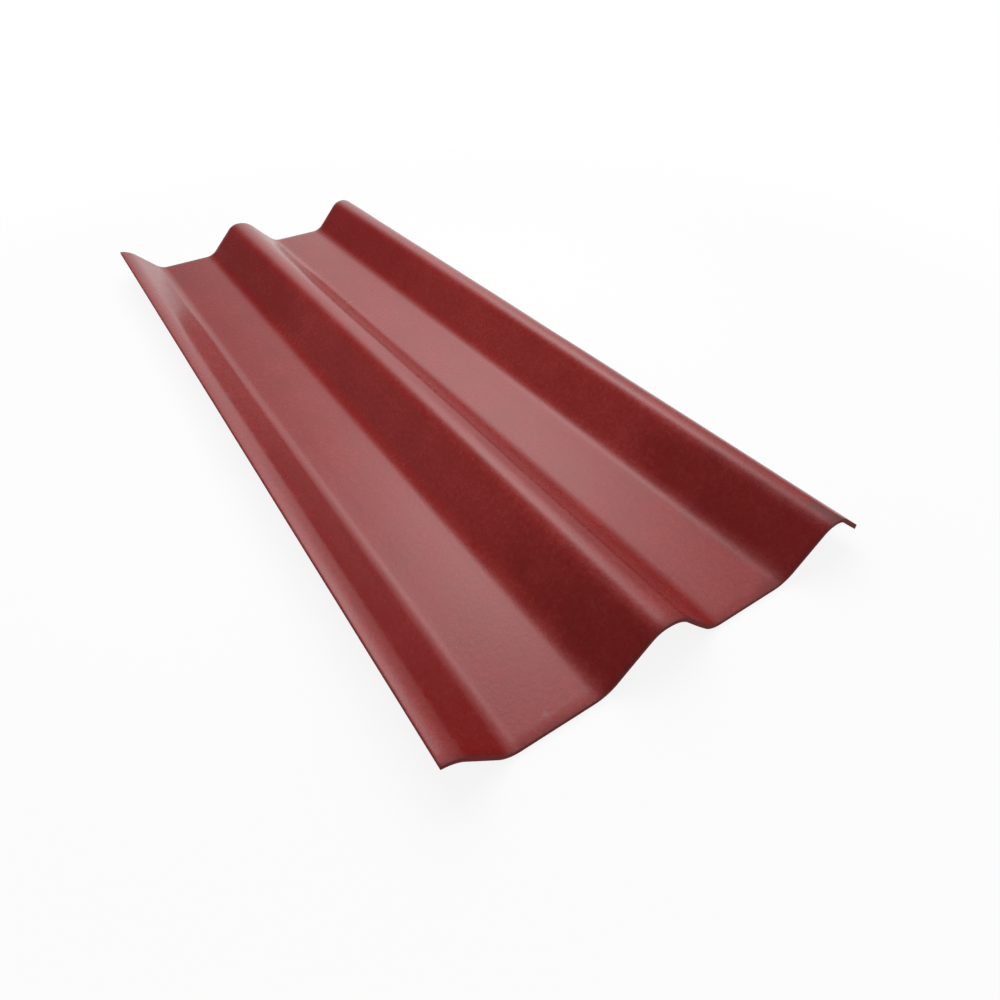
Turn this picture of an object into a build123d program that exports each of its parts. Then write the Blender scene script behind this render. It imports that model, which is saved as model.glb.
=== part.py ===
from build123d import *

import math
import os

# Corrugated roof sheet, pressed as one piece of fibre cement with a painted weather face.
# Two flat pans lie between rounded ridges. The left edge is trimmed close to a ridge's crest
# and the right edge partway down a lip on the far side of the last ridge, so that the half
# ridge on the left of one sheet laps over the whole ridge on the right of the next.
#
# Frame: +Z is the weather side, +Y runs along the ridges and +X across them, from the half
# ridge to the whole one. The origin is the middle of the footprint, on the pans' underside.
# Millimetres and degrees. Radii are those of the weather face.

# Driving dimensions
sheet_length = 1200.0  # along the ridges
sheet_thickness = 5.0  # measured square to the surface, the same all over
ridge_pitch = 230.5  # crest line to crest line
left_trim = 5.0  # from the half ridge's crest line to the left edge
lip_reach = 44.0  # from the right ridge's crest line to the right edge
ridge_rise = 50.5  # top of a whole ridge above the top face of a pan
half_ridge_rise = 48.0  # the same for the half ridge, lower so that it beds on its neighbour
crest_flat = 2.0  # level strip along a crest line
left_slope = 46.0  # a ridge's left flank, from the pans
left_crest_radius = 26.0  # from a crest onto the left flank
left_foot_radius = 31.0  # from the left flank onto a pan
right_slope = 44.0  # a ridge's right flank, from the pans
right_crest_radius = 42.0  # from a crest onto the right flank
right_foot_radius = 28.0  # from the right flank onto a pan
lip_slope = 40.0  # the lip, from the pans
lip_radius = 25.0  # from the right ridge's crest onto the lip
arris_radius = 0.6  # rounding worn onto the trimmed edges and the cut ends

# Worked out
sheet_width = 2 * ridge_pitch + lip_reach - left_trim
half_ridge_line = -sheet_width / 2 - left_trim
middle_ridge_line = half_ridge_line + ridge_pitch
right_ridge_line = middle_ridge_line + ridge_pitch
lip_fall = (lip_reach + sheet_thickness) * math.tan(math.radians(lip_slope))


def flank(crest_line, rise, fall, slope, crest_radius, foot_radius, depth):
    """Corners of a flank right of a crest line, with their radii, at a depth under the weather face."""
    half_turn = math.tan(math.radians(slope) / 2)
    to_crest_corner = crest_flat / 2 + (crest_radius - depth) * half_turn
    to_foot_corner = to_crest_corner + fall / math.tan(math.radians(slope))
    height = sheet_thickness + rise - depth
    return [
        (crest_line + to_crest_corner, height, crest_radius - depth),
        (crest_line + to_foot_corner, height - fall, foot_radius + depth),
    ]


def left_flank(crest_line, depth):
    """The left flank of a whole ridge, from its foot up: a right flank mirrored in the crest line."""
    mirrored = flank(0, ridge_rise, ridge_rise, left_slope, left_crest_radius, left_foot_radius, depth)
    return [(crest_line - x, z, radius) for x, z, radius in reversed(mirrored)]


def corrugation_line(depth):
    """The corrugation at a depth under the weather face, parallel to it, as runs and tangent arcs."""
    right_side = (right_slope, right_crest_radius, right_foot_radius)
    lip_side = (lip_slope, lip_radius, right_foot_radius)
    corners = [
        (half_ridge_line, sheet_thickness + half_ridge_rise - depth, 0),
        *flank(half_ridge_line, half_ridge_rise, half_ridge_rise, *right_side, depth),
        *left_flank(middle_ridge_line, depth),
        *flank(middle_ridge_line, ridge_rise, ridge_rise, *right_side, depth),
        *left_flank(right_ridge_line, depth),
        *flank(right_ridge_line, ridge_rise, lip_fall, *lip_side, depth),
    ]
    radii = [radius for _, _, radius in corners]
    return FilletPolyline(*[(x, z) for x, z, _ in corners], radius=radii[1:-1])


def sheet_section():
    """The wall between the weather face and the underside, trimmed upright to the sheet's width."""
    trim_height = 4 * (ridge_rise + sheet_thickness)
    with BuildSketch(Plane.XZ) as section:
        with BuildLine():
            weather_face = corrugation_line(0)
            underside = corrugation_line(sheet_thickness)
            Line(weather_face @ 0, underside @ 0)
            Line(weather_face @ 1, underside @ 1)
        make_face()
        Rectangle(sheet_width, trim_height, mode=Mode.INTERSECT)
    return section.sketch


def roof_sheet():
    """The trimmed section run along the ridges, with every cut edge eased."""
    sheet = extrude(sheet_section(), amount=sheet_length / 2, both=True)
    cut_faces = sheet.faces().filter_by(Axis.Y) + sheet.faces().filter_by(Axis.X)
    return fillet(cut_faces.edges(), radius=arris_radius)


os.makedirs("parts", exist_ok=True)
export_step(roof_sheet(), "parts/roof_sheet.step")
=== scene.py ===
"""Looks of a corrugated roof sheet of painted fibre cement, lying on a pale studio floor.

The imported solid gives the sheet's box. The sheet is modelled again inside it with a finer skin, the
faint unevenness of a pressed board, eased cut edges and three finishes: paint on the weather face,
stained board on the cut edges and bare board on the back. Metres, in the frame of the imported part:
+Z is the weather side, +Y runs along the ridges and +X across them, from the half ridge.
"""

import logging
import math
from dataclasses import dataclass
from enum import Enum
from typing import Any, Callable, Mapping, Optional, Sequence, Union

import bmesh
import bpy
from mathutils import Matrix, Vector


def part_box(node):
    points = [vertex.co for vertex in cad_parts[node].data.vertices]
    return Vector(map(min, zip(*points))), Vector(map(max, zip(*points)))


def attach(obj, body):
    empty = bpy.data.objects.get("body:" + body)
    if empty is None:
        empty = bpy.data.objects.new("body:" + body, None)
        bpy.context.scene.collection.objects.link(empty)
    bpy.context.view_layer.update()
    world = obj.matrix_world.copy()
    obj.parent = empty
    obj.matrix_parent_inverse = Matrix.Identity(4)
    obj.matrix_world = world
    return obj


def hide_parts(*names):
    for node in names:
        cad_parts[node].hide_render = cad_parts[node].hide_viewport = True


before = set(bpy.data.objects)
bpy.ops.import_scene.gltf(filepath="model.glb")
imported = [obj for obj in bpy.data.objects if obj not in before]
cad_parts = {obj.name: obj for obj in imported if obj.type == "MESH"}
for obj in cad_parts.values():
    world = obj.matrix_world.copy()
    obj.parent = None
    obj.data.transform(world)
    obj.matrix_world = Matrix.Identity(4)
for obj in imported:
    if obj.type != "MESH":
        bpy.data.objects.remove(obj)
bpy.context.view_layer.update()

LOG = logging.getLogger("roof_sheet")
NODE = "roof_sheet"
BODY = "root"
SAME_PLACE = 1e-6
LENGTHWISE = 1e-4
HALF = 0.5
SHARP_ANGLE = math.radians(40.0)
MM = 1000.0

Colour = tuple[float, float, float]
Point = tuple[float, float, float]
Sizes = tuple[float, float, float]
Step = tuple[float, float]
Number = Union[float, "Value"]


def opaque(colour: Colour) -> tuple[float, float, float, float]:
    """A colour with full cover, as a shader's colour socket takes it."""
    return (*colour, 1.0)


class Value:
    """One output of a shader tree. Arithmetic on it adds Math nodes to that tree."""

    def __init__(self, recipe: "Recipe", socket: bpy.types.NodeSocket) -> None:
        """Keeps the socket and the recipe that it belongs to.

        Args:
            recipe: The tree that new Math nodes go into.
            socket: The output that this value stands for.
        """
        self.recipe = recipe
        self.socket = socket

    def _math(self, operation: str, first: Number, second: Number = 0.0) -> "Value":
        """Adds one Math node.

        Args:
            operation: Blender's name for the sum.
            first: Its first number.
            second: Its second number.

        Returns:
            The node's result.
        """
        return self.recipe.add("ShaderNodeMath", {"operation": operation}, {0: first, 1: second})

    def __add__(self, other: Number) -> "Value":
        """The sum of two values."""
        return self._math("ADD", self, other)

    def __mul__(self, other: Number) -> "Value":
        """The product of two values."""
        return self._math("MULTIPLY", self, other)

    __rmul__ = __mul__

    def __sub__(self, other: Number) -> "Value":
        """This value less another."""
        return self._math("SUBTRACT", self, other)

    def __rsub__(self, other: Number) -> "Value":
        """Another value less this one."""
        return self._math("SUBTRACT", other, self)

    def __truediv__(self, other: Number) -> "Value":
        """This value over another."""
        return self._math("DIVIDE", self, other)

    def __abs__(self) -> "Value":
        """This value without its sign."""
        return self._math("ABSOLUTE", self)

    def exp(self) -> "Value":
        """The exponential of this value."""
        return self._math("EXPONENT", self)

    def most(self, other: Number) -> "Value":
        """The larger of two values."""
        return self._math("MAXIMUM", self, other)

    def least(self, other: Number) -> "Value":
        """The smaller of two values."""
        return self._math("MINIMUM", self, other)

    def rise(self, low: float, high: float) -> "Value":
        """A soft step.

        Args:
            low: Where the step leaves 0.
            high: Where it reaches 1. Below low, the step falls instead.

        Returns:
            A value from 0 to 1.
        """
        settings = {"interpolation_type": "SMOOTHSTEP"}
        if high < low:
            sockets = {"Value": self, "From Min": high, "From Max": low, "To Min": 1.0, "To Max": 0.0}
        else:
            sockets = {"Value": self, "From Min": low, "From Max": high}
        return self.recipe.add("ShaderNodeMapRange", settings, sockets)

    def swing(self, depth: float) -> "Value":
        """Noise around a half, made to swing around 0.

        Args:
            depth: How far it swings from end to end.

        Returns:
            A value from half that depth below 0 to half of it above.
        """
        return (self - HALF) * depth


class Recipe:
    """The node tree of one material or of the world, built one node at a time."""

    def __init__(self, tree: bpy.types.NodeTree) -> None:
        """Empties the tree.

        Args:
            tree: The tree to fill.
        """
        self.tree = tree
        tree.nodes.clear()

    def add(
        self,
        kind: str,
        settings: Optional[Mapping[str, Any]] = None,
        sockets: Optional[Mapping[Union[str, int], Any]] = None,
        output: Union[str, int] = 0,
    ) -> Value:
        """Adds one node.

        Args:
            kind: The node's type.
            settings: Its own properties, which are set before its sockets.
            sockets: Values, or links from other nodes, by input name or place.
            output: The output that the result stands for.

        Returns:
            That output.
        """
        node = self.tree.nodes.new(kind)
        for name, setting in (settings or {}).items():
            setattr(node, name, setting)
        for name, given in (sockets or {}).items():
            if isinstance(given, Value):
                self.tree.links.new(given.socket, node.inputs[name])
            else:
                node.inputs[name].default_value = given
        return Value(self, node.outputs[output]) if len(node.outputs) else Value(self, None)

    def place(self) -> Value:
        """The surface point in the piece's own frame, in metres."""
        return self.add("ShaderNodeTexCoord", output="Object")

    def along(self, axis: str) -> Value:
        """One coordinate of the surface point.

        Args:
            axis: X, Y or Z.

        Returns:
            That coordinate, in metres.
        """
        return self.add("ShaderNodeSeparateXYZ", sockets={0: self.place()}, output=axis)

    def cloud(self, grain: Union[float, Sizes], detail: float = 2.0, shift: float = 0.0) -> Value:
        """Soft random patches.

        Args:
            grain: The size of a patch in metres, or its size along X, Y and Z.
            detail: How many finer layers are added.
            shift: Moves the pattern, so that two of one grain differ.

        Returns:
            A value around a half.
        """
        sizes = grain if isinstance(grain, tuple) else (grain, grain, grain)
        scale = tuple(1.0 / size for size in sizes)
        sockets = {"Vector": self.place(), "Scale": scale, "Location": (shift,) * 3}
        spot = self.add("ShaderNodeMapping", {}, sockets)
        return self.add("ShaderNodeTexNoise", {}, {"Vector": spot, "Scale": 1.0, "Detail": detail}, "Fac")

    def blend(self, share: Number, first: Any, second: Any) -> Value:
        """Two colours in a changing share.

        Args:
            share: The second colour's share.
            first: A colour, or an output that gives one.
            second: A colour, or an output that gives one.

        Returns:
            The mixed colour.
        """
        return self.add("ShaderNodeMix", {"data_type": "RGBA"}, {0: share, 6: first, 7: second}, 2)

    def relief(self, height: Value) -> Value:
        """A bumped normal.

        Args:
            height: The relief's height, in metres.

        Returns:
            The normal.
        """
        return self.add("ShaderNodeBump", {}, {"Strength": 1.0, "Distance": 1.0, "Height": height})

    def show(self, surface: Value, kind: str = "ShaderNodeOutputMaterial") -> None:
        """Ends the tree in a shader.

        Args:
            surface: The shader that shows.
            kind: The output node's type.
        """
        self.add(kind, {}, {"Surface": surface})


def new_material(name: str) -> tuple[bpy.types.Material, Recipe]:
    """An empty material.

    Args:
        name: The material's name.

    Returns:
        The material, and the recipe that fills it.
    """
    material = bpy.data.materials.new(name)
    material.use_nodes = True
    return material, Recipe(material.node_tree)


@dataclass(frozen=True)
class Mark:
    """A soft patch of other colour at one place of the sheet, in metres from its middle: real wear, or
    painted shade.
    """

    place: tuple[float, float]
    reach: tuple[float, float]
    colour: Colour
    cover: float
    raggedness: float = 1.2
    fades_out: float = 1.3
    full_within: float = 0.1

    def share(self, recipe: Recipe) -> Value:
        """How much the mark covers the paint.

        Args:
            recipe: The tree to add to.

        Returns:
            A value from 0 to the mark's full cover.
        """
        across = (recipe.along("X") - self.place[0]) / self.reach[0]
        along = (recipe.along("Y") - self.place[1]) / self.reach[1]
        ragged = recipe.cloud(self.reach[0], detail=3.0, shift=11.0).swing(self.raggedness)
        off = across * across + along * along + ragged
        return off.rise(self.fades_out, self.full_within) * self.cover


@dataclass(frozen=True)
class WeatherPaint:
    """Red roof paint on the weather face: a soft sheen over a fine pebbled board."""

    mid: Colour = (0.262, 0.0150, 0.0135)
    deep: Colour = (0.232, 0.0120, 0.0108)
    faded: Colour = (0.290, 0.0205, 0.0185)
    dusty: Colour = (0.400, 0.1000, 0.0950)
    grain_dust: float = 0.14
    mottle_dust: float = 0.035
    sheen_roughness: float = 0.26
    blotch: float = 0.055
    blotch_roughness: float = 0.10
    mottle: float = 0.0060
    mottle_roughness: float = 0.12
    mottle_depth: float = 0.00010
    grain: float = 0.0020
    grain_depth: float = 0.00013
    drift: Sizes = (0.12, 0.5, 0.12)
    streak: Sizes = (0.006, 0.35, 0.006)
    blotch_share: float = 0.35
    drift_share: float = 0.20
    streak_share: float = 0.15
    mottle_share: float = 0.30
    deep_tone: float = 0.38
    mid_tone: float = 0.50
    faded_tone: float = 0.62
    grain_top: Step = (0.45, 0.75)
    mottle_top: Step = (0.44, 0.64)
    # Darker paint along the last few millimetres of both ends.
    end_darkening: Colour = (0.110, 0.0200, 0.0180)
    end_reach: float = 0.0040
    end_cover: float = 0.7
    wear_and_painted_shade: tuple[Mark, ...] = (
        # Painted shade: the left-facing flanks of the middle and right ridges, darker at the near end
        # where less light falls.
        Mark((-0.060, -0.620), (0.040, 0.200), (0.140, 0.0060, 0.0055), 0.60),
        Mark((0.170, -0.620), (0.040, 0.300), (0.140, 0.0060, 0.0055), 0.60),
        # Painted shade: the half ridge's right-facing flank, darker from the near end to the middle,
        # standing in for less reflected light.
        Mark((-0.208, -0.480), (0.025, 0.550), (0.190, 0.0020, 0.0020), 0.60),
        # Painted shade: the far half of the middle and right ridges' left-facing flanks, darker where
        # less light falls.
        Mark((-0.064, 0.420), (0.036, 0.260), (0.215, 0.0045, 0.0045), 0.60),
        Mark((0.168, 0.420), (0.036, 0.260), (0.220, 0.0060, 0.0060), 0.50),
        Mark((0.207, -0.592), (0.009, 0.032), (0.120, 0.0300, 0.0300), 0.70),
        # Painted shade: a darker patch at the near end, where the right pan meets the right ridge.
        Mark((0.130, -0.606), (0.030, 0.024), (0.160, 0.0070, 0.0065), 0.55),
        Mark((-0.141, -0.586), (0.003, 0.004), (0.250, 0.1200, 0.1250), 0.36),
    )

    def material(self, half_length: float) -> bpy.types.Material:
        """The paint as a node material.

        Args:
            half_length: From the sheet's middle to its ends.

        Returns:
            The material.
        """
        material, recipe = new_material("weather_paint")
        blotch = recipe.cloud(self.blotch, detail=3.0)
        mottle = recipe.cloud(self.mottle, shift=2.0)
        pebble = recipe.cloud(self.grain, shift=6.0)
        unlike = blotch.swing(self.blotch_roughness) + mottle.swing(self.mottle_roughness)
        height = pebble * self.grain_depth + mottle * self.mottle_depth
        # The paint turns darker within a few millimetres of both ends.
        from_end = half_length - abs(recipe.along("Y")) + mottle.swing(self.end_reach)
        colour = recipe.blend(
            from_end.rise(self.end_reach, 0.0) * self.end_cover,
            self._colour(recipe, blotch, mottle, pebble),
            opaque(self.end_darkening),
        )
        shader = recipe.add(
            "ShaderNodeBsdfPrincipled",
            {},
            {
                "Base Color": colour,
                "Roughness": unlike + self.sheen_roughness,
                "Normal": recipe.relief(height),
            },
        )
        recipe.show(shader)
        return material

    def _colour(self, recipe: Recipe, blotch: Value, mottle: Value, pebble: Value) -> Value:
        """The paint's colour: clouded, mottled, and marked in places with wear and with painted shade.

        Args:
            recipe: The tree to add to.
            blotch: Noise of a hand's size.
            mottle: Noise of a fingertip's size.
            pebble: The board's fine grain, whose tops hold dust.

        Returns:
            The colour.
        """
        drift = recipe.cloud(self.drift, shift=4.0)
        streak = recipe.cloud(self.streak, shift=9.0)
        tone = blotch * self.blotch_share + drift * self.drift_share
        tone = tone + streak * self.streak_share + mottle * self.mottle_share
        deep, mid, faded = opaque(self.deep), opaque(self.mid), opaque(self.faded)
        colour = recipe.blend(tone.rise(self.deep_tone, self.mid_tone), deep, mid)
        colour = recipe.blend(tone.rise(self.mid_tone, self.faded_tone), colour, faded)
        dust = pebble.rise(*self.grain_top) * self.grain_dust
        dust = dust + mottle.rise(*self.mottle_top) * self.mottle_dust
        colour = recipe.blend(dust, colour, opaque(self.dusty))
        for mark in self.wear_and_painted_shade:
            colour = recipe.blend(mark.share(recipe), colour, opaque(mark.colour))
        return colour


@dataclass(frozen=True)
class StainedEdge:
    """Cut board at the sheet's edges, stained by the paint, with pale cement showing in specks."""

    stain: Colour = (0.170, 0.012, 0.012)
    cement: Colour = (0.230, 0.140, 0.130)
    cement_cover: float = 0.6
    speck_share: float = 0.6
    patch_share: float = 0.4
    bare_step: Step = (0.60, 0.76)
    gloss: float = 0.15
    roughness: float = 0.75
    uneven_roughness: float = 0.2
    grain: float = 0.0012
    patch: float = 0.03
    relief_depth: float = 0.00025

    def material(self) -> bpy.types.Material:
        """The cut edge as a node material.

        Returns:
            The material.
        """
        material, recipe = new_material("stained_edge")
        speck = recipe.cloud(self.grain)
        patch = recipe.cloud(self.patch, detail=3.0, shift=3.0)
        worn = speck * self.speck_share + patch * self.patch_share
        bare = worn.rise(*self.bare_step) * self.cement_cover
        shader = recipe.add(
            "ShaderNodeBsdfPrincipled",
            {},
            {
                "Base Color": recipe.blend(bare, opaque(self.stain), opaque(self.cement)),
                "Specular IOR Level": self.gloss,
                "Roughness": speck.swing(self.uneven_roughness) + self.roughness,
                "Normal": recipe.relief(speck * self.relief_depth),
            },
        )
        recipe.show(shader)
        return material


@dataclass(frozen=True)
class BareBack:
    """Unpainted back of the board: grey cement with the print of a felt, and paint drift at the edges."""

    cement: Colour = (0.300, 0.285, 0.260)
    damp: Colour = (0.242, 0.230, 0.210)
    drift: Colour = (0.200, 0.030, 0.027)
    roughness: float = 0.88
    uneven_roughness: float = 0.1
    felt: Sizes = (0.0016, 0.006, 0.0016)
    patch: float = 0.09
    dry_step: Step = (0.35, 0.65)
    drift_grain: float = 0.02
    drift_reach: float = 0.035
    drift_ragged: float = 0.05
    drift_cover: float = 0.85
    relief_depth: float = 0.00030

    def material(self, half_width: float, half_length: float) -> bpy.types.Material:
        """The back as a node material.

        Args:
            half_width: From the sheet's middle line to its long edges.
            half_length: From the sheet's middle to its ends.

        Returns:
            The material.
        """
        material, recipe = new_material("bare_back")
        felt = recipe.cloud(self.felt)
        patch = recipe.cloud(self.patch, detail=4.0, shift=5.0)
        from_side = half_width - abs(recipe.along("X"))
        from_end = half_length - abs(recipe.along("Y"))
        ragged = recipe.cloud(self.drift_grain, detail=4.0, shift=8.0).swing(self.drift_ragged)
        painted = (from_side.least(from_end) + ragged).rise(self.drift_reach, 0.0)
        colour = recipe.blend(patch.rise(*self.dry_step), opaque(self.damp), opaque(self.cement))
        colour = recipe.blend(painted * self.drift_cover, colour, opaque(self.drift))
        shader = recipe.add(
            "ShaderNodeBsdfPrincipled",
            {},
            {
                "Base Color": colour,
                "Roughness": patch.swing(self.uneven_roughness) + self.roughness,
                "Normal": recipe.relief(felt * self.relief_depth),
            },
        )
        recipe.show(shader)
        return material


class Side(Enum):
    """The two free edges of the skin while it grows across the sheet."""

    LEFT = -1
    RIGHT = 1


class Bend(Enum):
    """Which way the skin turns as it goes on across the sheet."""

    UP = 1
    DOWN = -1


@dataclass(frozen=True)
class Flank:
    """One side of a ridge. The slope is in degrees from the pans, the radii are of the weather face."""

    slope: float
    crest_radius: float
    foot_radius: float

    @property
    def turn(self) -> float:
        """The slope in radians, which each of its two bends turns through."""
        return math.radians(self.slope)

    def run(self, rise: float) -> float:
        """The length of the straight part between the bends, for a ridge of a given rise."""
        turned = (self.crest_radius + self.foot_radius) * (1 - math.cos(self.turn))
        return (rise - turned) / math.sin(self.turn)

    def spread(self, rise: float) -> float:
        """How far it reaches from the crest's level strip to the flat of a pan."""
        turned = (self.crest_radius + self.foot_radius) * math.sin(self.turn)
        return turned + self.run(rise) * math.cos(self.turn)


@dataclass(frozen=True)
class Unevenness:
    """Soft waves in a pressed board: how long they are, and how deep from top to bottom."""

    name: str
    size: float
    depth: float


@dataclass
class RoofSheet:
    """The pressed sheet: flat pans, straight flanks and rounded ridges of one constant wall."""

    low: Vector
    high: Vector
    thickness: float = 0.005
    ridge_pitch: float = 0.2305
    left_trim: float = 0.005
    ridge_rise: float = 0.0505
    half_ridge_rise: float = 0.048
    crest_flat: float = 0.002
    left_flank: Flank = Flank(46.0, 0.026, 0.031)
    right_flank: Flank = Flank(44.0, 0.042, 0.028)
    lip: Flank = Flank(40.0, 0.025, 0.028)
    arris: float = 0.0006
    arris_steps: int = 2
    arris_stained: float = 0.6
    crest_lean: float = 0.003
    lean_reach: float = 0.07
    unevenness: tuple[Unevenness, ...] = (
        Unevenness("press_waves", 0.30, 0.0016),
        Unevenness("press_dents", 0.07, 0.0004),
    )
    length_cuts: int = 119
    pan_steps: int = 8
    flank_steps: int = 6
    turn_steps: int = 10

    def __post_init__(self) -> None:
        """Works out the places across the sheet from the box and the driving sizes."""
        self.length = self.high.y - self.low.y
        self.width = self.high.x - self.low.x
        self.middle = (self.high + self.low) / 2
        self.pan_top = self.low.z + self.thickness
        half_ridge_line = self.low.x - self.left_trim
        to_left_flat = self.left_flank.spread(self.ridge_rise) + self.crest_flat / 2
        to_right_flat = self.right_flank.spread(self.ridge_rise) + self.crest_flat / 2
        from_half_ridge = self.right_flank.spread(self.half_ridge_rise) + self.crest_flat / 2
        self.left_pan_width = self.ridge_pitch - from_half_ridge - to_left_flat
        self.right_pan_width = self.ridge_pitch - to_right_flat - to_left_flat
        self.left_pan_centre = half_ridge_line + from_half_ridge + self.left_pan_width / 2

    def build(self) -> bpy.types.Object:
        """Models the sheet.

        Returns:
            The finished mesh object, at the origin.
        """
        sheet = self._first_pan()
        self._grow_left()
        self._grow_right()
        self._divide_length()
        self._lean_middle_crest()
        bpy.ops.object.mode_set(mode="OBJECT")
        self._make_uneven(sheet)
        self._give_wall(sheet)
        self._trim()
        self._ease_edges()
        bpy.ops.object.mode_set(mode="OBJECT")
        bpy.ops.object.shade_smooth_by_angle(angle=SHARP_ANGLE)
        return sheet

    def dress(self, sheet: bpy.types.Object) -> None:
        """Gives each face its finish.

        Args:
            sheet: The finished mesh object.
        """
        sheet.data.materials.append(WeatherPaint().material(self.length / 2))
        sheet.data.materials.append(StainedEdge().material())
        sheet.data.materials.append(BareBack().material(self.width / 2, self.length / 2))
        bpy.ops.object.mode_set(mode="EDIT")
        self._assign(1, self._is_cut)
        self._assign(2, self._is_back)
        bpy.ops.object.mode_set(mode="OBJECT")

    def _is_cut(self, face: bmesh.types.BMFace) -> bool:
        """Whether a face belongs to a cut end or a trimmed edge, with the outer part of its arris.

        Args:
            face: The face to place.

        Returns:
            True for a cut face.
        """
        centre = face.calc_center_median()
        from_end = self.length / 2 - abs(centre.y - self.middle.y)
        from_side = self.width / 2 - abs(centre.x - self.middle.x)
        return min(from_end, from_side) < self.arris * self.arris_stained

    def _is_back(self, face: bmesh.types.BMFace) -> bool:
        """True for a face of the underside."""
        return face.normal.z < 0 and not self._is_cut(face)

    def _assign(self, place: int, wanted: Callable[[bmesh.types.BMFace], bool]) -> None:
        """Puts faces into one material place.

        Args:
            place: The material's place on the object.
            wanted: Says whether a face takes it.
        """
        self._pick_faces(wanted)
        bpy.context.object.active_material_index = place
        bpy.ops.object.material_slot_assign()

    def _mesh(self) -> bmesh.types.BMesh:
        """The mesh that is being edited."""
        return bmesh.from_edit_mesh(bpy.context.object.data)

    def _pick(self, parts: str, wanted: Callable[[Any], bool], mode: tuple[bool, bool, bool]) -> None:
        """Selects parts of the edited mesh and nothing else.

        Args:
            parts: verts, edges or faces.
            wanted: Says whether a part is selected.
            mode: Blender's select mode for those parts.
        """
        bpy.context.tool_settings.mesh_select_mode = mode
        bpy.ops.mesh.select_all(action="DESELECT")
        mesh = self._mesh()
        for part in getattr(mesh, parts):
            if wanted(part):
                part.select_set(True)
        mesh.select_flush_mode()
        bmesh.update_edit_mesh(bpy.context.object.data)

    def _pick_edges(self, wanted: Callable[[bmesh.types.BMEdge], bool]) -> None:
        """Selects the edges that are wanted."""
        self._pick("edges", wanted, (False, True, False))

    def _pick_faces(self, wanted: Callable[[bmesh.types.BMFace], bool]) -> None:
        """Selects the faces that are wanted."""
        self._pick("faces", wanted, (False, False, True))

    def _first_pan(self) -> bpy.types.Object:
        """The left pan's flat, as a plane at its size and place.

        Returns:
            The new object, in edit mode.
        """
        bpy.ops.object.select_all(action="DESELECT")
        bpy.ops.mesh.primitive_plane_add(size=1.0, location=(0.0, 0.0, 0.0))
        sheet = bpy.context.object
        sheet.name = "pressed_sheet"
        sheet.data.name = "pressed_sheet"
        bpy.ops.object.mode_set(mode="EDIT")
        bpy.ops.transform.resize(value=(self.left_pan_width, self.length, 1.0))
        bpy.ops.transform.translate(value=(self.left_pan_centre, self.middle.y, self.pan_top))
        self._pick_edges(lambda edge: abs(edge.verts[0].co.y - edge.verts[1].co.y) < SAME_PLACE)
        bpy.ops.mesh.subdivide(number_cuts=self.pan_steps - 1)
        return sheet

    def _free_edge(self, side: Side) -> Vector:
        """Selects the skin's free edge on one side.

        Args:
            side: The side to grow on from.

        Returns:
            A point on that edge.
        """
        mesh = self._mesh()
        reach = max(vert.co.x * side.value for vert in mesh.verts)
        self._pick_edges(
            lambda edge: all(reach - vert.co.x * side.value < SAME_PLACE for vert in edge.verts)
        )
        return next(vert.co.copy() for vert in self._mesh().verts if vert.select)

    def _turn(self, side: Side, bend: Bend, start: float, angle: float, radius: float) -> None:
        """Spins the free edge round an arc that leaves the skin without a kink.

        Args:
            side: The side to grow on.
            bend: Up for a valley, down for a ridge.
            start: The skin's slope where the arc begins, upwards positive.
            angle: How far it turns.
            radius: The arc's radius on the weather face.
        """
        edge = self._free_edge(side)
        towards = Vector((-math.sin(start) * side.value, 0.0, math.cos(start))) * bend.value
        bpy.ops.mesh.spin(
            steps=self.turn_steps,
            angle=angle,
            center=edge + towards * radius,
            axis=(0.0, side.value * bend.value, 0.0),
        )

    def _run(self, side: Side, slope: float, reach: float, steps: int) -> None:
        """Extrudes the free edge straight on.

        Args:
            side: The side to grow on.
            slope: The run's slope, upwards positive.
            reach: The run's length.
            steps: How many faces it is made of.
        """
        step = Vector((math.cos(slope) * side.value, 0.0, math.sin(slope))) * (reach / steps)
        for _ in range(steps):
            self._free_edge(side)
            bpy.ops.mesh.extrude_region_move(TRANSFORM_OT_translate={"value": step})

    def _climb(self, side: Side, flank: Flank, rise: float) -> None:
        """From a pan up a flank and onto a crest.

        Args:
            side: The side to grow on.
            flank: The flank's bends and slope.
            rise: The crest's height over the pan.
        """
        self._turn(side, Bend.UP, 0.0, flank.turn, flank.foot_radius)
        self._run(side, flank.turn, flank.run(rise), self.flank_steps)
        self._turn(side, Bend.DOWN, flank.turn, flank.turn, flank.crest_radius)

    def _grow_left(self) -> None:
        """The half ridge on the left, up to its crest line a little past the trimmed edge."""
        self._climb(Side.LEFT, self.right_flank, self.half_ridge_rise)

    def _grow_right(self) -> None:
        """The middle ridge, the right pan and the right ridge with its lip."""
        down = self.right_flank
        self._climb(Side.RIGHT, self.left_flank, self.ridge_rise)
        self._run(Side.RIGHT, 0.0, self.crest_flat, 1)
        self._turn(Side.RIGHT, Bend.DOWN, 0.0, down.turn, down.crest_radius)
        self._run(Side.RIGHT, -down.turn, down.run(self.ridge_rise), self.flank_steps)
        self._turn(Side.RIGHT, Bend.UP, -down.turn, down.turn, down.foot_radius)
        self._run(Side.RIGHT, 0.0, self.right_pan_width, self.pan_steps)
        self._climb(Side.RIGHT, self.left_flank, self.ridge_rise)
        self._run(Side.RIGHT, 0.0, self.crest_flat, 1)
        self._turn(Side.RIGHT, Bend.DOWN, 0.0, self.lip.turn, self.lip.crest_radius)
        self._run(Side.RIGHT, -self.lip.turn, self.ridge_rise, self.flank_steps)

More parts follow.
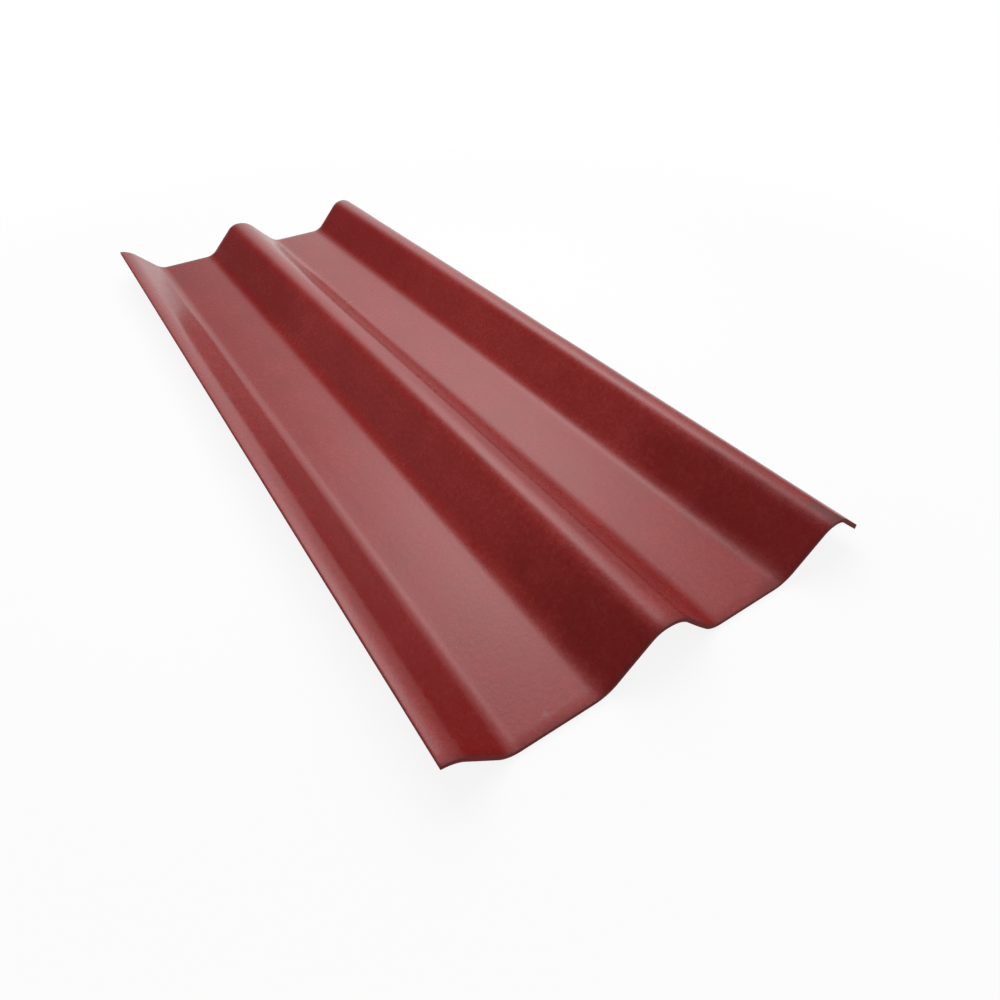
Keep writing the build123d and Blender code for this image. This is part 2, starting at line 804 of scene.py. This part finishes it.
    def _divide_length(self) -> None:
        """Cuts the skin across, so that it can be uneven along its length."""
        self._pick_edges(lambda edge: abs(edge.verts[0].co.x - edge.verts[1].co.x) < SAME_PLACE / 10)
        bpy.ops.mesh.subdivide(number_cuts=self.length_cuts)
        bpy.ops.mesh.select_all(action="SELECT")
        bpy.ops.mesh.remove_doubles(threshold=SAME_PLACE)
        bpy.ops.mesh.normals_make_consistent(inside=False)
        pan = min(
            self._mesh().faces,
            key=lambda face: abs(face.calc_center_median().x - self.left_pan_centre),
        )
        if pan.normal.z < 0:
            bpy.ops.mesh.flip_normals()

    def _lean_middle_crest(self) -> None:
        """Draws the middle crest a little to the right, fading out down its flanks."""
        top = self.pan_top + self.ridge_rise - 10 * SAME_PLACE
        self._pick(
            "verts",
            lambda vert: vert.co.z > top and vert.co.x < self.middle.x + self.ridge_pitch / 2,
            (True, False, False),
        )
        bpy.ops.transform.translate(
            value=(self.crest_lean, 0.0, 0.0),
            use_proportional_edit=True,
            proportional_edit_falloff="SMOOTH",
            proportional_size=self.lean_reach,
        )

    def _make_uneven(self, sheet: bpy.types.Object) -> None:
        """Gives the skin the faint unevenness of a pressed board.

        Args:
            sheet: The skin.
        """
        for wave in self.unevenness:
            texture = bpy.data.textures.new(wave.name, "CLOUDS")
            texture.noise_scale = wave.size
            texture.noise_depth = 1
            waves = sheet.modifiers.new(wave.name, "DISPLACE")
            waves.texture = texture
            waves.texture_coords = "LOCAL"
            waves.direction = "NORMAL"
            waves.strength = wave.depth
            waves.mid_level = 0.5
            bpy.ops.object.modifier_apply(modifier=wave.name)

    def _give_wall(self, sheet: bpy.types.Object) -> None:
        """Thickens the skin downwards to the wall.

        Args:
            sheet: The skin.
        """
        wall = sheet.modifiers.new("wall", "SOLIDIFY")
        wall.thickness = self.thickness
        wall.offset = -1.0
        wall.use_even_offset = True
        bpy.ops.object.modifier_apply(modifier="wall")

    def _trim(self) -> None:
        """Cuts both long edges upright at the sheet's width and closes them."""
        bpy.ops.object.mode_set(mode="EDIT")
        for side in Side:
            edge = self.middle.x + side.value * self.width / 2
            bpy.context.tool_settings.mesh_select_mode = (True, False, False)
            bpy.ops.mesh.select_all(action="SELECT")
            bpy.ops.mesh.bisect(
                plane_co=(edge, 0.0, 0.0),
                plane_no=(side.value, 0.0, 0.0),
                clear_outer=True,
            )
            self._pick_edges(
                lambda part: part.is_boundary
                and abs(part.verts[0].co.y - part.verts[1].co.y) > LENGTHWISE
            )
            bpy.ops.mesh.bridge_edge_loops()
        bpy.ops.mesh.select_all(action="SELECT")
        bpy.ops.mesh.remove_doubles(threshold=SAME_PLACE)
        bpy.ops.mesh.normals_make_consistent(inside=False)

    def _ease_edges(self) -> None:
        """Rounds the arrises of the cut edges."""
        self._pick_edges(lambda edge: edge.is_manifold and edge.calc_face_angle() > SHARP_ANGLE)
        bpy.ops.mesh.bevel(offset=self.arris, segments=self.arris_steps, affect="EDGES")


@dataclass(frozen=True)
class Viewpoint:
    """The camera, at the photograph's viewing angle. Angles are in degrees."""

    spot: Point = (-0.3511, -0.8311, 0.5390)
    azimuth: float = -30.278
    elevation: float = 39.519
    roll: float = -2.720
    focal_pixels: float = 688.2
    centre_pixel: tuple[float, float] = (466.0, 470.4)
    picture: float = 1000.0
    sensor: float = 36.0

    def build(self) -> bpy.types.Object:
        """Makes the camera and hands the scene over to it.

        Returns:
            The camera object.
        """
        lens = bpy.data.cameras.new("photo_camera")
        lens.sensor_width = self.sensor
        lens.lens = self.focal_pixels / self.picture * self.sensor
        lens.shift_x = 0.5 - self.centre_pixel[0] / self.picture
        lens.shift_y = self.centre_pixel[1] / self.picture - 0.5
        lens.clip_start = 0.01
        camera = bpy.data.objects.new("photo_camera", lens)
        bpy.context.scene.collection.objects.link(camera)
        azimuth, elevation, roll = map(math.radians, (self.azimuth, self.elevation, self.roll))
        back = Vector(
            (
                math.sin(azimuth) * math.cos(elevation),
                -math.cos(azimuth) * math.cos(elevation),
                math.sin(elevation),
            )
        )
        right = Vector((math.cos(azimuth), math.sin(azimuth), 0.0))
        turn = Matrix((right, back.cross(right), back)).transposed()
        camera.matrix_world = (
            Matrix.Translation(self.spot) @ turn.to_4x4() @ Matrix.Rotation(roll, 4, "Z")
        )
        bpy.context.scene.camera = camera
        return camera


def towards(azimuth: float, elevation: float) -> Vector:
    """A direction in the studio.

    Args:
        azimuth: Degrees round from +Y to +X.
        elevation: Degrees above the floor.

    Returns:
        A vector of length 1.
    """
    round_about, up = math.radians(azimuth), math.radians(elevation)
    flat = math.cos(up)
    return Vector((math.sin(round_about) * flat, math.cos(round_about) * flat, math.sin(up)))


@dataclass(frozen=True)
class Lamp:
    """One soft lamp: a square panel that faces a point near the sheet. Gloss sees the tent instead."""

    name: str
    azimuth: float
    elevation: float
    distance: float
    size: float
    radiance: float
    target: Point = (0.0, 0.0, 0.03)

    def build(self) -> bpy.types.Object:
        """Hangs the lamp.

        Returns:
            The lamp object.
        """
        panel = bpy.data.lights.new(self.name, "AREA")
        panel.shape = "SQUARE"
        panel.size = self.size
        panel.energy = self.radiance * math.pi * self.size**2
        lamp = bpy.data.objects.new(self.name, panel)
        bpy.context.scene.collection.objects.link(lamp)
        out = towards(self.azimuth, self.elevation)
        lamp.location = Vector(self.target) + out * self.distance
        lamp.rotation_euler = out.to_track_quat("Z", "Y").to_euler()
        lamp.visible_camera = False
        lamp.visible_glossy = False
        return lamp


@dataclass(frozen=True)
class Spot:
    """A soft round spot on the tent. Angles are in degrees, the azimuth round from +Y to +X."""

    strength: float
    azimuth: float
    elevation: float
    spread: float


@dataclass(frozen=True)
class Studio:
    """A pale floor, a white surround, a tent that gloss sees and soft lamps behind on the right."""

    floor_size: float = 80.0
    floor_drop: float = 0.0010
    floor_colour: Colour = (0.95, 0.95, 0.95)
    lift_near: float = 0.87
    lift_from: float = 0.6
    lift_to: float = 1.4
    ambient: float = 0.43
    tent_radius: float = 6.0
    tent_segments: int = 96
    tent_rings: int = 48
    tent_dim: float = 0.03
    tent_bright: float = 1.10
    tent_left: float = -0.19
    tent_right: float = 0.47
    glow: Spot = Spot(strength=3.4, azimuth=32.2, elevation=49.2, spread=16.0)
    shade: Spot = Spot(strength=0.8, azimuth=82.0, elevation=12.0, spread=32.0)
    faint: Spot = Spot(strength=0.18, azimuth=-38.0, elevation=20.0, spread=17.0)
    lamps: tuple[Lamp, ...] = (
        Lamp("key_panel", 32.0, 46.0, distance=3.2, size=1.9, radiance=1.3),
        Lamp(
            "top_panel", 0.0, 90.0, distance=1.3, size=1.3, radiance=2.1, target=(0.15, 0.15, 0.0)
        ),
    )

    def build(self) -> None:
        """Makes the surround, the floor, the tent and the lamps."""
        self._surround()
        self._floor()
        self._tent()
        for lamp in self.lamps:
            lamp.build()
            LOG.info("%s: %.1f m off", lamp.name, lamp.distance)

    @staticmethod
    def _background_rays(recipe: Recipe) -> Value:
        """1 for rays that show the background: from the camera, off gloss and through glass.

        Args:
            recipe: The tree to add to.

        Returns:
            A value of 0 or 1.
        """
        kinds = ("Is Camera Ray", "Is Glossy Ray", "Is Transmission Ray")
        seen, *others = [recipe.add("ShaderNodeLightPath", output=kind) for kind in kinds]
        for other in others:
            seen = seen.most(other)
        return seen

    def _surround(self) -> None:
        """White where it is seen, and a plain level of light from all round."""
        world = bpy.data.worlds.new("surround")
        world.use_nodes = True
        bpy.context.scene.world = world
        recipe = Recipe(world.node_tree)
        strength = self._background_rays(recipe) * (1.0 - self.ambient) + self.ambient
        sockets = {"Color": opaque((1.0, 1.0, 1.0)), "Strength": strength}
        light = recipe.add("ShaderNodeBackground", {}, sockets)
        recipe.show(light, "ShaderNodeOutputWorld")

    def _floor(self) -> bpy.types.Object:
        """The pale floor, which keeps the sheet's shadow and turns white away from it.

        Returns:
            The floor object.
        """
        bpy.ops.object.select_all(action="DESELECT")
        bpy.ops.mesh.primitive_plane_add(size=self.floor_size, location=(0.0, 0.0, -self.floor_drop))
        floor = bpy.context.object
        floor.name = "floor"
        material, recipe = new_material("pale_floor")
        plain = recipe.add("ShaderNodeBsdfDiffuse", {}, {"Color": opaque(self.floor_colour)})
        white = recipe.add("ShaderNodeEmission", {}, {"Strength": 1.0})
        away = recipe.add("ShaderNodeVectorMath", {"operation": "LENGTH"}, {0: recipe.place()}, "Value")
        lift = away.rise(self.lift_from, self.lift_to) * (1.0 - self.lift_near) + self.lift_near
        lifted = self._background_rays(recipe) * lift
        recipe.show(recipe.add("ShaderNodeMixShader", {}, {0: lifted, 1: plain, 2: white}))
        floor.data.materials.append(material)
        return floor

    def _lean(self, recipe: Recipe, way: Vector) -> Value:
        """How far a point of the tent lies towards a direction.

        Args:
            recipe: The tree to add to.
            way: The direction, of length 1.

        Returns:
            The cosine of the angle between them.
        """
        sockets = {0: recipe.place(), 1: way / self.tent_radius}
        return recipe.add("ShaderNodeVectorMath", {"operation": "DOT_PRODUCT"}, sockets, "Value")

    def _spot(self, recipe: Recipe, spot: Spot) -> Value:
        """Adds one spot, which falls to about a third of its strength at its spread.

        Args:
            recipe: The tree to add to.
            spot: The spot to add.

        Returns:
            A value from 0 to the spot's strength.
        """
        off = 2.0 - 2.0 * self._lean(recipe, towards(spot.azimuth, spot.elevation))
        return (off * (-1.0 / math.radians(spot.spread) ** 2)).exp() * spot.strength

    def _tent(self) -> bpy.types.Object:
        """A half globe that only gloss sees: dim with a faint spot on the left, bright with a soft
        glow and a shaded spot on the right.

        Returns:
            The tent object.
        """
        bpy.ops.object.select_all(action="DESELECT")
        bpy.ops.mesh.primitive_uv_sphere_add(
            segments=self.tent_segments,
            ring_count=self.tent_rings,
            radius=self.tent_radius,
            location=(0.0, 0.0, 0.0),
        )
        tent = bpy.context.object
        tent.name = "studio_tent"
        bpy.ops.object.mode_set(mode="EDIT")
        bpy.ops.mesh.select_all(action="SELECT")
        bpy.ops.mesh.bisect(
            plane_co=(0.0, 0.0, -2 * self.floor_drop), plane_no=(0.0, 0.0, -1.0), clear_outer=True
        )
        bpy.ops.object.mode_set(mode="OBJECT")
        material, recipe = new_material("studio_tent")
        lit = self._lean(recipe, Vector((1.0, 0.0, 0.0))).rise(self.tent_left, self.tent_right)
        spots = (self.glow, self.shade, self.faint)
        glow, shade, faint = [self._spot(recipe, spot) for spot in spots]
        bright = glow - shade + self.tent_bright
        strength = lit * bright + (1.0 - lit) * (faint + self.tent_dim)
        recipe.show(recipe.add("ShaderNodeEmission", {}, {"Strength": strength}))
        tent.data.materials.append(material)
        tent.visible_camera = False
        tent.visible_diffuse = False
        tent.visible_shadow = False
        return tent


def main() -> None:
    """Builds and dresses the sheet, then sets the studio and the camera."""
    logging.basicConfig(level=logging.INFO, format="%(name)s: %(message)s")
    bpy.context.scene.view_settings.view_transform = "Standard"
    sheet = RoofSheet(*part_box(NODE))
    piece = sheet.build()
    sheet.dress(piece)
    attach(piece, BODY)
    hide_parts(NODE)
    LOG.info("%s: %d faces, wall %.1f mm", piece.name, len(piece.data.polygons), sheet.thickness * MM)
    Studio().build()
    Viewpoint().build()


if __name__ == "__main__":
    main()
